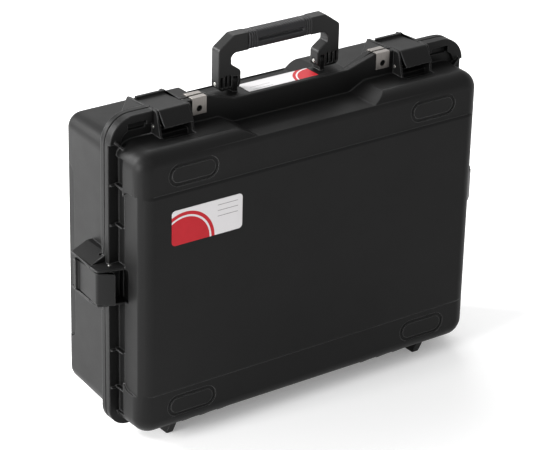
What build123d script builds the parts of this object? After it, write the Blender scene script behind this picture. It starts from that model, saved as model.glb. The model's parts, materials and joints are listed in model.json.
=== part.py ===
from build123d import *
import os
from math import radians, tan

# A moulded polypropylene carrying case that stands on its hinge edge with its handle raised.
# X runs along the hinge, +Y points from the lid to the back, +Z is up, in millimetres.
# The origin lies on the floor under the middle of the case.

# Moulded box
body_width = 493.0
body_height = 363.0
foot_height = 20.0
corner_radius = 24.0
lid_depth = 60.0
base_depth = 112.5
lid_draft = 1.0
base_draft = 3.0
lid_edge_radius = 18.0
base_edge_radius = 14.0
front_wall = 4.0
back_wall = 4.5
rim_width = 11.0
cavity_radius = 14.0
cavity_edge_radius = 9.0

# Flange that goes round both halves at the parting plane
flange_reach = 8.5
flange_rise = 29.0
flange_drop = 6.0
flange_radius = 33.0
flange_foot_radius = 26.0
lid_flange = 7.5
base_flange = 9.0
lid_bay_rise = 18.0
base_bay_rise = 12.5
bay_flange_half = 82.0
bay_slope_run = 38.0
parting_gap = 0.3
outer_parting_gap = 1.0
pocket_inner = 206.0
pocket_width = 25.0
pocket_height = 9.0
pocket_below_top = 14.0
pocket_depth = 8.0
band_width = 15.0
band_rise = 4.0
band_half = 197.0
band_foot = 180.0

# Large raised panel of the lid, and the matching step in the sides of the base
panel_rise = 2.5
panel_inset = 3.0
panel_half_height = 128.5
panel_wrap = 22.0
panel_corner = 14.0
base_panel_half_height = 115.0
base_panel_wrap = 22.0

# Oval grooves of the lid that the oval ridges of the base sit in when cases are stacked
oval_width = 68.0
oval_height = 28.0
oval_x = 173.0
oval_z = 149.0
oval_drop = 0.5
groove_width = 4.6
groove_depth = 1.6
ridge_clearance = 0.5
stack_clearance = 0.3

# Channel in the lid's sides, with cross ribs
channel_depth = 6.0
channel_width = 16.0
channel_half_height = 166.0
channel_rib = 2.2
channel_rib_places = (-132.5, -82.5, 79.5, 129.5)
flange_rib_reach = 6.5
flange_rib_rise = 3.0
corner_rib_place = (243.0, 178.0)
corner_rib_length = 14.0
corner_rib_rise = 8.0

# Finger scoop in the lid and handle bay in the base
scoop_half = 84.0
scoop_slope_run = 22.0
scoop_depth = 11.0
scoop_radius = 7.0
bay_half = 74.0
bay_slope_run_base = 19.0
bay_depth = 20.0
bay_radius = 6.0

# Hinge and feet
hinge_height = 10.0
knuckle_radius = 6.5
hinge_pin_diameter = 5.0
hinge_running_gap = 0.1
hinge_group_x = 109.0
hinge_pitch = 25.5
lid_knuckles = 3
lid_knuckle_width = 7.0
knuckle_side_gap = 0.4
lid_knuckle_toe = 24.0
lid_knuckle_bend = 38.0
lid_knuckle_heel = 46.0
base_knuckle_toe = 12.0
base_knuckle_heel = 32.0
knuckle_root = 2.0
knuckle_bend_drop = 6.0
foot_x = 187.0
foot_width = 9.0
lid_foot_span = (14.0, 34.0)
lid_foot_root = (8.0, 44.0)
base_foot_span = (56.0, 78.0)
base_foot_root = (48.0, 86.0)
base_foot_root_rise = 8.0
foot_radius = 3.0
knuckle_relief = 0.8

# Latches: four alike, two over the top flange and two over the side flanges
latch_x = 173.0
side_latch_z = 209.0
cover_width = 40.0
cover_side_gap = 0.5
cheek_thickness = 2.8
cheek_rise = 29.5
lid_cheek_reach = 25.0
cheek_brow = 20.0
cheek_brow_rise = 21.0
base_cheek_reach = 46.0
buttress_run = 9.0
buttress_low = 5.0
latch_pin_diameter = 4.0
latch_pin_rise = 9.0
latch_pin_offset = 10.0
catch_pin_offset = 8.0
latch_pin_end = 0.6
latch_running_gap = 0.1
cover_thickness = 3.5
cover_rise = 30.5
cover_dip = 26.5
cover_back = 35.0
cover_lip = 5.0
cover_corner = 16.5
cover_nose_reach = 29.5
cover_nose_rise = 12.5
hook_width = 24.0
hook_eye_radius = 5.0
hook_clearance = 0.6
notch_floor = 1.5
nose_hollow_depth = 7.0
nose_hollow_back = 15.5
nose_hollow_margin = 2.0

# Padlock plates
plate_beside_latch = 20.5
plate_width = 20.0
plate_height = 21.0
plate_thickness = 1.5
plate_hole = 7.6
plate_hole_below_top = 12.5

# Handle
handle_half = 87.0
handle_top = 466.0
handle_depth = 15.6
handle_front = 19.4
handle_pivot_height = 407.0
handle_chamfer_x = 21.0
handle_chamfer_z = 15.0
handle_bar = 22.0
leg_block_inner = 55.5
leg_waist_inner = 69.5
leg_block_top = 421.0
leg_block_radius = 6.0
leg_waist_rise = 10.0
leg_foot = 7.5
handle_pin_diameter = 5.0
handle_pin_end = 0.5
handle_running_gap = 0.1
lug_inner = 60.0
lug_width = 6.0
lug_radius = 7.0
lug_side_gap = 0.4
lug_end_gap = 1.0
leg_slots = (70.5, 76.5, 82.5)
leg_slot_width = 3.6
leg_slot_low = 403.0
leg_slot_high = 417.0
leg_slot_depth = 4.0
grip_half = 45.0
grip_depth = 20.0
grip_radius = 5.0
grip_core_depth = 11.0
grip_core_height = 10.0
block_half = 92.0
block_back = 37.0
block_lean = 3.0

# Rim seal
seal_inset = 5.25
seal_groove_width = 5.0
seal_groove_depth = 4.5
seal_width = 4.8
seal_height = 3.0
tongue_width = 2.0
tongue_height = 1.5

# Labels
label_width = 97.0
label_height = 44.0
label_x = -156.0
label_z = 286.0
label_thickness = 0.5
label_radius = 5.0
strip_label_length = 100.0
strip_label_depth = 31.0
strip_label_front = 3.0

# Pressure valve on the floor of the handle bay
valve_y = 62.0
valve_thread = 12.0
valve_flange = 24.0
valve_flange_height = 2.0
valve_cap_diameter = 18.0
valve_cap_height = 5.0
valve_nut = 19.0
valve_nut_height = 3.0
valve_gap = 0.1

# Places worked out from the sizes above
front_extent = lid_depth + panel_rise + label_thickness
stack_height = panel_rise + groove_depth - stack_clearance
back_extent = base_depth + stack_height
parting_y = (front_extent - back_extent) / 2
body_mid = foot_height + body_height / 2
body_top = foot_height + body_height
body_half = body_width / 2
flange_top = body_top + flange_rise
cavity_half = body_half - rim_width
cheek_inner = cover_width / 2 + cover_side_gap
plate_x = latch_x - cover_width / 2 - plate_beside_latch
handle_axis_y = handle_front + handle_depth / 2
block_top = body_top + base_bay_rise
bay_floor = body_top - bay_depth
panel_side = body_half - panel_inset


def front_plane(depth):
    """Plane that faces -Y, depth millimetres in front of the parting plane: local x is X, local y is Z."""
    return Plane(origin=(0, parting_y - depth, body_mid), x_dir=(1, 0, 0), z_dir=(0, -1, 0))


def back_plane(depth):
    """Plane that faces +Y, depth millimetres behind the parting plane: local x is -X, local y is Z."""
    return Plane(origin=(0, parting_y + depth, body_mid), x_dir=(-1, 0, 0), z_dir=(0, 1, 0))


def cross_plane(x):
    """Plane that faces +X at x: local x is the distance behind the parting plane, local y is height."""
    return Plane(origin=(x, parting_y, 0), x_dir=(0, 1, 0), z_dir=(1, 0, 0))


# Each latch stands on one wall. Its plane's local x is the distance behind the parting plane and
# local y the distance out of the wall, and its normal runs along the latch's width.
latch_walls = {
    "top_left": ((-latch_x, parting_y, body_top), (1, 0, 0)),
    "top_right": ((latch_x, parting_y, body_top), (1, 0, 0)),
    "side_left": ((-body_half, parting_y, side_latch_z), (0, 0, 1)),
    "side_right": ((body_half, parting_y, side_latch_z), (0, 0, -1)),
}


def latch_plane(name, across):
    """Plane of one latch, moved along the latch's width by across."""
    origin, normal = latch_walls[name]
    return Plane(origin=origin, x_dir=(0, 1, 0), z_dir=normal).offset(across)


def latch_end_plane(name, behind):
    """Plane across one latch that faces backwards: local x is along the width, local y out of the wall."""
    origin, normal = latch_walls[name]
    start = (origin[0], origin[1] + behind, origin[2])
    return Plane(origin=start, x_dir=tuple(-c for c in normal), z_dir=(0, 1, 0))


def outline(points, radii):
    """Flat face inside a closed row of points, each corner rounded by its own radius."""
    with BuildSketch(Plane.XY, mode=Mode.PRIVATE) as face:
        with BuildLine():
            FilletPolyline(*points, radius=radii, close=True)
        make_face()
    return face.sketch


def flange_face(bay_rise):
    """Face of the flange about the middle of the body, lower where the handle stands."""
    half = body_half + flange_reach
    top = body_height / 2 + flange_rise
    bottom = -body_height / 2 - flange_drop
    bay = body_height / 2 + bay_rise
    slope_end = bay_flange_half + bay_slope_run
    bend = 6.0
    points = [
        (-half, bottom), (half, bottom), (half, top), (slope_end, top), (bay_flange_half, bay),
        (-bay_flange_half, bay), (-slope_end, top), (-half, top),
    ]
    radii = [
        flange_foot_radius, flange_foot_radius, flange_radius, bend, bend,
        bend, bend, flange_radius,
    ]
    return outline(points, radii)


def cavity_face(middle_half, middle_drop):
    """Face of the inside, lower in the middle where the outside is hollowed by middle_drop."""
    top = body_height / 2 - rim_width
    middle_top = body_height / 2 - middle_drop
    points = [
        (-cavity_half, -top), (cavity_half, -top), (cavity_half, top), (middle_half, top),
        (middle_half, middle_top), (-middle_half, middle_top), (-middle_half, top), (-cavity_half, top),
    ]
    small = cavity_radius / 4
    radii = [cavity_radius] * 3 + [small] * 4 + [cavity_radius]
    return outline(points, radii)


def draw_seal_path(width):
    """Ring of the given width on the seal's centre line."""
    across = body_width - 2 * seal_inset
    along = body_height - 2 * seal_inset
    radius = corner_radius - seal_inset
    RectangleRounded(across + width, along + width, radius + width / 2)
    RectangleRounded(across - width, along - width, radius - width / 2, mode=Mode.SUBTRACT)


def draw_ovals(shrink, ring):
    """Four oval rings, each drawn inside the full oval by shrink."""
    height = oval_height - 2 * shrink
    with Locations((0, -oval_drop)):
        with GridLocations(2 * oval_x, 2 * oval_z, 2, 2):
            SlotOverall(oval_width - 2 * shrink, height)
            SlotOverall(oval_width - 2 * shrink - 2 * ring, height - 2 * ring, mode=Mode.SUBTRACT)


def trapezoid_face(floor_half, run, depth, radius):
    """Face of a trapezoid hollow in the top edge of the body, open upwards."""
    top = body_height / 2
    over = flange_rise
    lean = run / depth
    points = [
        (-floor_half, top - depth), (floor_half, top - depth),
        (floor_half + lean * (depth + over), top + over),
        (-floor_half - lean * (depth + over), top + over),
    ]
    return outline(points, [radius, radius, 1.0, 1.0])


def knuckle_spans():
    """Left and right ends of the lid's and the base's knuckles of one hinge group, as two lists."""
    half = lid_knuckle_width / 2
    lid = [(hinge_group_x + i * hinge_pitch - half, hinge_group_x + i * hinge_pitch + half)
           for i in range(lid_knuckles)]
    last = foot_x - foot_width / 2 - knuckle_side_gap
    edges = [span[0] for span in lid[1:]] + [last + knuckle_side_gap]
    base = [(span[1] + knuckle_side_gap, edge - knuckle_side_gap) for span, edge in zip(lid, edges)]
    return lid, base


lid_spans, base_spans = knuckle_spans()
hinge_zone = (lid_spans[0][0] - knuckle_side_gap * 4, foot_x + foot_width / 2 + knuckle_side_gap * 4)
hinge_zone_width = hinge_zone[1] - hinge_zone[0]
hinge_zone_middle = (hinge_zone[0] + hinge_zone[1]) / 2
hinge_zone_top = hinge_height + knuckle_radius + knuckle_relief

# Raised panel of the lid, with its long edges bevelled and its upright edges rounded
panel_start = panel_wrap / 2
with BuildPart() as raised_panel:
    with BuildSketch(Plane.XY.offset(body_mid - panel_half_height)):
        with Locations((0, parting_y - (lid_depth + panel_rise + panel_start) / 2)):
            Rectangle(2 * panel_side, lid_depth + panel_rise - panel_start)
    extrude(amount=2 * panel_half_height)
    upright = raised_panel.edges().filter_by(Axis.Z).group_by(Axis.Y)[0]
    fillet(upright, radius=lid_edge_radius)
    for end in (-1, 0):
        rim = raised_panel.faces().sort_by(Axis.Z)[end].edges().sort_by(Axis.Y)
        chamfer(rim[:-1], length=panel_rise - 0.1)

# Hollow inside of each half, as a solid that is cut away
with BuildPart() as lid_cavity:
    with BuildSketch(front_plane(0)):
        add(cavity_face(scoop_half + scoop_slope_run + 8, scoop_depth + 2 * front_wall))
    extrude(amount=lid_depth - front_wall)
    fillet(lid_cavity.faces().sort_by(Axis.Y)[0].edges(), radius=cavity_edge_radius / 3)
with BuildPart() as base_cavity:
    with BuildSketch(back_plane(parting_gap)):
        add(cavity_face(bay_half + bay_slope_run_base + 8, bay_depth + back_wall + 1.5))
    extrude(amount=base_depth - back_wall - parting_gap)
    fillet(base_cavity.faces().sort_by(Axis.Y)[-1].edges(), radius=cavity_edge_radius / 3)


def lid_cheek_face():
    """Side plate of the lid beside a latch, with a rounded front corner."""
    foot = -channel_depth - 1
    points = [
        (0, foot), (0, cheek_rise), (-cover_corner, cheek_rise), (-cheek_brow, cheek_brow_rise),
        (-lid_cheek_reach, 0), (-lid_cheek_reach - 1, foot),
    ]
    return outline(points, [0.4, 0.4, 3.0, 3.0, 0.4, 0.4])


def base_cheek_face():
    """Side plate of the base beside a latch."""
    foot = -channel_depth - 1
    front = outer_parting_gap + parting_gap
    points = [(front, foot), (front, cheek_rise), (base_cheek_reach, cover_dip), (base_cheek_reach, foot)]
    return outline(points, [0.4, 0.4, 1.5, 0.4])


# Lid shell: the front half, with its flange, latch cheeks, hinge knuckles and front feet
with BuildPart() as lid_shell:
    with BuildSketch(front_plane(0)):
        RectangleRounded(body_width, body_height, corner_radius)
    extrude(amount=lid_depth, taper=lid_draft)
    fillet(lid_shell.faces().sort_by(Axis.Y)[0].edges(), radius=lid_edge_radius)
    # sides step in where the raised panel wraps round the upright edges
    for side in (-1, 1):
        corner = (side * panel_side, parting_y, body_mid)
        side_wall = Plane(origin=corner, x_dir=(0, 1, 0), z_dir=(side, 0, 0))
        with BuildSketch(side_wall):
            with Locations((-(lid_depth + panel_wrap), 0)):
                RectangleRounded(2 * lid_depth, 2 * panel_half_height, panel_corner)
        extrude(amount=panel_inset + 1, mode=Mode.SUBTRACT)
    add(raised_panel.part)
    with BuildSketch(front_plane(0)):
        add(flange_face(lid_bay_rise))
    extrude(amount=lid_flange)
    # bands round the flange's upper corners
    with BuildSketch(front_plane(lid_flange)):
        add(flange_face(lid_bay_rise))
        offset(flange_face(lid_bay_rise), amount=-band_width, mode=Mode.SUBTRACT)
        with GridLocations(2 * (band_half + body_half), 0, 2, 1):
            with Locations((0, band_foot + body_half)):
                Rectangle(2 * body_half, 2 * body_half, mode=Mode.INTERSECT)
    extrude(amount=band_rise)
    # finger scoop under the handle
    with BuildSketch(front_plane(lid_flange)):
        add(trapezoid_face(scoop_half, scoop_slope_run, scoop_depth, scoop_radius))
    extrude(amount=lid_depth, mode=Mode.SUBTRACT)
    # side channels between the cross ribs
    stops = (-channel_half_height,) + channel_rib_places + (channel_half_height,)
    for low, high in zip(stops, stops[1:]):
        with BuildSketch(front_plane(lid_flange)):
            for side in (-1, 1):
                with Locations((side * body_half, (low + high) / 2)):
                    Rectangle(2 * channel_depth, high - low - channel_rib)
        extrude(amount=channel_width, mode=Mode.SUBTRACT)
    # ribs that run out from the channels over the flange, and a slanting one in each upper corner
    with BuildSketch(front_plane(lid_flange)):
        for place in channel_rib_places:
            with GridLocations(2 * body_half + flange_rib_reach, 0, 2, 1):
                with Locations((0, place)):
                    Rectangle(flange_rib_reach, channel_rib)
    extrude(amount=flange_rib_rise)
    with BuildSketch(front_plane(lid_flange)):
        for side in (-1, 1):
            with Locations((side * corner_rib_place[0], corner_rib_place[1])):
                Rectangle(corner_rib_length, channel_rib, rotation=side * 45)
    extrude(amount=corner_rib_rise)
    # oval grooves
    with BuildSketch(front_plane(lid_depth)):
        draw_ovals(0, groove_width)
    extrude(amount=-groove_depth, mode=Mode.SUBTRACT)
    # pockets in the flange's upper corners
    with BuildSketch(front_plane(lid_flange + band_rise)):
        pocket_z = body_height / 2 + flange_rise - pocket_below_top + pocket_height / 2
        with GridLocations(2 * pocket_inner + pocket_width, 0, 2, 1):
            with Locations((0, pocket_z - pocket_height / 2)):
                RectangleRounded(pocket_width, pocket_height, 1.5)
    extrude(amount=-pocket_depth, mode=Mode.SUBTRACT)
    # notch in the flange for each latch, then its two cheeks
    for name in latch_walls:
        with BuildSketch(latch_plane(name, -cheek_inner)):
            with Locations((-lid_cheek_reach / 2, notch_floor + flange_rise / 2)):
                Rectangle(lid_cheek_reach, flange_rise)
        extrude(amount=2 * cheek_inner, mode=Mode.SUBTRACT)
        for across in (cheek_inner, -cheek_inner - cheek_thickness):
            with BuildSketch(latch_plane(name, across)):
                add(lid_cheek_face())
            extrude(amount=cheek_thickness)
        with BuildSketch(latch_plane(name, -2 * cheek_inner)):
            with Locations((-latch_pin_offset, latch_pin_rise)):
                Circle(latch_pin_diameter / 2)
        extrude(amount=4 * cheek_inner, mode=Mode.SUBTRACT)
        hollow_front = cover_nose_reach + nose_hollow_margin
        with BuildSketch(latch_plane(name, -cheek_inner)):
            with Locations((-(hollow_front + nose_hollow_back) / 2, 0)):
                Rectangle(hollow_front - nose_hollow_back, 2 * nose_hollow_depth)
        extrude(amount=2 * cheek_inner, mode=Mode.SUBTRACT)
    # hinge zone
    with BuildSketch(front_plane(-1)):
        for side in (-1, 1):
            with Locations((side * hinge_zone_middle, hinge_zone_top / 2 - body_mid)):
                Rectangle(hinge_zone_width, hinge_zone_top)
    extrude(amount=lid_flange + 2, mode=Mode.SUBTRACT)
    knuckle_foot = hinge_height - knuckle_radius
    for side in (-1, 1):
        for low, high in lid_spans:
            start = low if side > 0 else -high
            with BuildSketch(cross_plane(start)):
                with BuildLine():
                    Polyline(
                        (0, knuckle_foot), (-lid_knuckle_toe, knuckle_foot),
                        (-lid_knuckle_bend, foot_height - knuckle_bend_drop),
                        (-lid_knuckle_heel, foot_height + knuckle_root),
                        (-parting_gap, foot_height + knuckle_root),
                        (-parting_gap, hinge_height), (0, hinge_height), close=True,
                    )
                make_face()
                with Locations((0, hinge_height)):
                    Circle(knuckle_radius)
                    Circle(hinge_pin_diameter / 2 + hinge_running_gap, mode=Mode.SUBTRACT)
            extrude(amount=high - low)
        with BuildSketch(cross_plane(side * foot_x - foot_width / 2)):
            with BuildLine():
                FilletPolyline(
                    (-lid_foot_span[1], 0), (-lid_foot_span[0], 0),
                    (-lid_foot_root[0], foot_height + knuckle_root),
                    (-lid_foot_root[1], foot_height + knuckle_root),
                    radius=[foot_radius, foot_radius, 0.5, 0.5], close=True,
                )
            make_face()
        extrude(amount=foot_width)
    add(lid_cavity.part, mode=Mode.SUBTRACT)
    # tongue that presses on the seal
    with BuildSketch(back_plane(0)):
        draw_seal_path(tongue_width)
    extrude(amount=tongue_height)
    # padlock holes
    with BuildSketch(front_plane(-1)):
        with GridLocations(2 * plate_x, 0, 2, 1):
            with Locations((0, body_height / 2 + flange_rise - plate_hole_below_top)):
                Circle(plate_hole / 2)
    extrude(amount=lid_flange + 2, mode=Mode.SUBTRACT)
lid_shell.part.label = "lid_shell"

# Base shell: the back half, with its flange, buttressed latch cheeks, handle block and back feet
with BuildPart() as base_shell:
    with BuildSketch(back_plane(parting_gap)):
        RectangleRounded(body_width, body_height, corner_radius)
    extrude(amount=base_depth - parting_gap, taper=base_draft)
    fillet(base_shell.faces().sort_by(Axis.Y)[-1].edges(), radius=base_edge_radius)
    drafted_side = panel_side - base_depth * tan(radians(base_draft))
    for side in (-1, 1):
        corner = (side * drafted_side, parting_y, body_mid)
        side_wall = Plane(origin=corner, x_dir=(0, 1, 0), z_dir=(side, 0, 0))
        with BuildSketch(side_wall):
            with Locations((base_depth, 0)):
                RectangleRounded(2 * base_panel_wrap, 2 * base_panel_half_height, panel_corner)
        extrude(amount=2 * panel_inset + base_edge_radius, mode=Mode.SUBTRACT)
    with BuildSketch(back_plane(base_flange)):
        add(trapezoid_face(bay_half, bay_slope_run_base, bay_depth, bay_radius))
    extrude(amount=base_depth, mode=Mode.SUBTRACT)
    with BuildSketch(back_plane(parting_gap)):
        add(flange_face(base_bay_rise))
    extrude(amount=base_flange - parting_gap)
    # the outer flange stands back a little, which leaves a dark line round the case
    with BuildSketch(back_plane(parting_gap)):
        add(flange_face(base_bay_rise))
        RectangleRounded(body_width, body_height, corner_radius, mode=Mode.SUBTRACT)
    extrude(amount=outer_parting_gap, mode=Mode.SUBTRACT)
    # block under the handle, with a lug for each of its legs
    block_front = parting_gap + outer_parting_gap
    with BuildSketch(cross_plane(-block_half)):
        with BuildLine():
            FilletPolyline(
                (block_front, bay_floor - 2), (block_front, block_top),
                (block_back, block_top), (block_back + block_lean, bay_floor - 2),
                radius=[0.3, 0.3, 4.0, 0.3], close=True,
            )
        make_face()
    extrude(amount=2 * block_half)
    for side in (-1, 1):
        with BuildSketch(cross_plane(side * (lug_inner + lug_width / 2) - lug_width / 2)):
            with Locations((handle_axis_y, handle_pivot_height)):
                Circle(lug_radius)
            with Locations((handle_axis_y, (block_top - 1 + handle_pivot_height) / 2)):
                Rectangle(2 * lug_radius, handle_pivot_height - block_top + 1)
            with Locations((handle_axis_y, handle_pivot_height)):
                Circle(handle_pin_diameter / 2, mode=Mode.SUBTRACT)
        extrude(amount=lug_width)
    # oval ridges on the back
    with BuildSketch(back_plane(base_depth - 1)):
        draw_ovals(ridge_clearance, groove_width - 2 * ridge_clearance)
    extrude(amount=stack_height + 1)
    # latch notches, cheeks and buttresses
    for name in latch_walls:
        with BuildSketch(latch_plane(name, -cheek_inner)):
            with Locations((base_cheek_reach / 2, notch_floor + flange_rise / 2)):
                Rectangle(base_cheek_reach, flange_rise)
        extrude(amount=2 * cheek_inner, mode=Mode.SUBTRACT)
        for across in (cheek_inner, -cheek_inner - cheek_thickness):
            with BuildSketch(latch_plane(name, across)):
                add(base_cheek_face())
            extrude(amount=cheek_thickness)
        for side in (-1, 1):
            with BuildSketch(latch_end_plane(name, outer_parting_gap + parting_gap)):
                with BuildLine():
                    Polyline(
                        (side * (cheek_inner + 1), -channel_depth), (side * (cheek_inner + 1), cover_dip - 1),
                        (side * (cheek_inner + cheek_thickness), cover_dip - 1),
                        (side * (cheek_inner + cheek_thickness + buttress_run), buttress_low),
                        (side * (cheek_inner + cheek_thickness + buttress_run), -channel_depth), close=True,
                    )
                make_face()
            extrude(amount=base_cheek_reach - outer_parting_gap - parting_gap)
        with BuildSketch(latch_plane(name, -2 * cheek_inner)):
            with Locations((catch_pin_offset, latch_pin_rise)):
                Circle(latch_pin_diameter / 2)
        extrude(amount=4 * cheek_inner, mode=Mode.SUBTRACT)
    # hinge zone, knuckles and back feet
    with BuildSketch(back_plane(0)):
        for side in (-1, 1):
            with Locations((side * hinge_zone_middle, hinge_zone_top / 2 - body_mid)):
                Rectangle(hinge_zone_width, hinge_zone_top)
    extrude(amount=base_flange + 1, mode=Mode.SUBTRACT)
    for side in (-1, 1):
        for low, high in base_spans:
            start = low if side > 0 else -high
            with BuildSketch(cross_plane(start)):
                with BuildLine():
                    Polyline(
                        (0, knuckle_foot), (base_knuckle_toe, knuckle_foot),
                        (base_knuckle_heel, foot_height + 2 * knuckle_root),
                        (parting_gap + outer_parting_gap, foot_height + 2 * knuckle_root),
                        (parting_gap + outer_parting_gap, hinge_height), (0, hinge_height), close=True,
                    )
                make_face()
                with Locations((0, hinge_height)):
                    Circle(knuckle_radius)
                    Circle(hinge_pin_diameter / 2, mode=Mode.SUBTRACT)
            extrude(amount=high - low)
        with BuildSketch(cross_plane(side * foot_x - foot_width / 2)):
            with BuildLine():
                FilletPolyline(
                    (base_foot_span[0], 0), (base_foot_span[1], 0),
                    (base_foot_root[1], foot_height + base_foot_root_rise),
                    (base_foot_root[0], foot_height + base_foot_root_rise),
                    radius=[foot_radius, foot_radius, 0.5, 0.5], close=True,
                )
            make_face()
        extrude(amount=foot_width)
    add(base_cavity.part, mode=Mode.SUBTRACT)
    with BuildSketch(back_plane(parting_gap)):
        draw_seal_path(seal_groove_width)
    extrude(amount=seal_groove_depth, mode=Mode.SUBTRACT)
    # valve hole and padlock holes
    with BuildSketch(Plane.XY.offset(bay_floor + 1)):
        with Locations((0, parting_y + valve_y)):
            Circle(valve_thread / 2)
    extrude(amount=-4 * back_wall, mode=Mode.SUBTRACT)
    with BuildSketch(back_plane(0)):
        with GridLocations(2 * plate_x, 0, 2, 1):
            with Locations((0, body_height / 2 + flange_rise - plate_hole_below_top)):
                Circle(plate_hole / 2)
    extrude(amount=base_flange + 1, mode=Mode.SUBTRACT)
base_shell.part.label = "base_shell"

# Rubber seal in the groove of the base
with BuildPart() as rim_seal:
    with BuildSketch(back_plane(parting_gap + seal_groove_depth - seal_height)):
        draw_seal_path(seal_width)
    extrude(amount=seal_height)
rim_seal.part.label = "rim_seal"

# Steel hinge pins, one in each hinge group
hinge_pin_start = lid_spans[0][0]
hinge_pin_end = base_spans[-1][1]
with BuildPart() as hinge_pins:
    for side in (-1, 1):
        start = hinge_pin_start if side > 0 else -hinge_pin_end
        with BuildSketch(cross_plane(start)):
            with Locations((0, hinge_height)):
                Circle(hinge_pin_diameter / 2)
        extrude(amount=hinge_pin_end - hinge_pin_start)
hinge_pins.part.label = "hinge_pins"


finished = [lid_shell, base_shell, rim_seal, hinge_pins]

# Steel pins of the latches, one in the lid's cheeks and one in the base's cheeks
pin_reach = cheek_inner + cheek_thickness + latch_pin_end
for label, offset in (("latch_pins", -latch_pin_offset), ("catch_pins", catch_pin_offset)):
    with BuildPart() as pins:
        for name in latch_walls:
            with BuildSketch(latch_plane(name, -pin_reach)):
                with Locations((offset, latch_pin_rise)):
                    Circle(latch_pin_diameter / 2)
            extrude(amount=2 * pin_reach)
    pins.part.label = label
    finished.append(pins)

# Latch covers and the hooks under them
nose_lean = (cover_nose_reach - cover_corner) / (cover_rise - cover_nose_rise)
inner_corner = -cover_corner + cover_thickness * nose_lean


def under_cover(behind):
    """Height of the cover's underside above the wall, behind the parting plane."""
    lip_start = cover_back - cover_lip
    fall = (cover_rise - cover_dip) / (lip_start - inner_corner)
    return cover_rise - cover_thickness - fall * (behind - inner_corner)


for name in latch_walls:
    with BuildPart() as cover:
        with BuildSketch(latch_plane(name, -cover_width / 2)):
            with BuildLine():
                Polyline(
                    (cover_back, cover_rise), (cover_back - cover_lip + 1, cover_rise),
                    (cover_back - cover_lip, cover_dip), (-cover_corner, cover_rise),
                    (-cover_nose_reach, cover_nose_rise),
                    (-cover_nose_reach + cover_thickness, cover_nose_rise),
                    (inner_corner, cover_rise - cover_thickness),
                    (cover_back - cover_lip, cover_dip - cover_thickness),
                    (cover_back, cover_dip - cover_thickness), close=True,
                )
            make_face()
        extrude(amount=cover_width)
    cover.part.label = "latch_cover_" + name
    arm_floor = latch_pin_rise + latch_pin_diameter / 2 + hook_clearance
    arm_end = catch_pin_offset + latch_pin_diameter
    with BuildPart() as hook:
        with BuildSketch(latch_plane(name, -hook_width / 2)):
            with BuildLine():
                Polyline(
                    (inner_corner, cover_rise - cover_thickness),
                    (-latch_pin_offset - hook_eye_radius, latch_pin_rise),
                    (-latch_pin_offset + hook_eye_radius, latch_pin_rise),
                    (-latch_pin_offset + hook_eye_radius, arm_floor), (arm_end, arm_floor),
                    (arm_end, under_cover(arm_end)), close=True,
                )
            make_face()
            with Locations((-latch_pin_offset, latch_pin_rise)):
                Circle(hook_eye_radius)
                Circle(latch_pin_diameter / 2 + latch_running_gap, mode=Mode.SUBTRACT)
        extrude(amount=hook_width)
    hook.part.label = "latch_hook_" + name
    finished += [cover, hook]

# Stainless padlock plates, bent over the top edge of each flange
for half_name, face, sign in (("lid", -lid_flange, -1), ("base", base_flange, 1)):
    edge = 1.0 if sign < 0 else outer_parting_gap + parting_gap + 0.4
    for side_name, x in (("left", -plate_x), ("right", plate_x)):
        with BuildPart() as plate:
            with BuildSketch(cross_plane(x - plate_width / 2)):
                with BuildLine():
                    Polyline(
                        (face, flange_top - plate_height + plate_thickness),
                        (face + sign * plate_thickness, flange_top - plate_height + plate_thickness),
                        (face + sign * plate_thickness, flange_top + plate_thickness),
                        (sign * edge, flange_top + plate_thickness), (sign * edge, flange_top),
                        (face, flange_top), close=True,
                    )
                make_face()
            extrude(amount=plate_width)
            fold = plate.edges().filter_by(Axis.X).sort_by(
                lambda e: abs(e.center().Y - parting_y - face - sign * plate_thickness)
                + abs(e.center().Z - flange_top - plate_thickness))[0]
            fillet(fold, radius=plate_thickness * 0.9)
            with BuildSketch(Plane(origin=(x, parting_y + face, flange_top - plate_hole_below_top),
                                   x_dir=(1, 0, 0), z_dir=(0, -1, 0))):
                Circle(plate_hole / 2)
            extrude(amount=2 * plate_thickness, both=True, mode=Mode.SUBTRACT)
        plate.part.label = "padlock_plate_" + half_name + "_" + side_name
        finished.append(plate)

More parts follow.
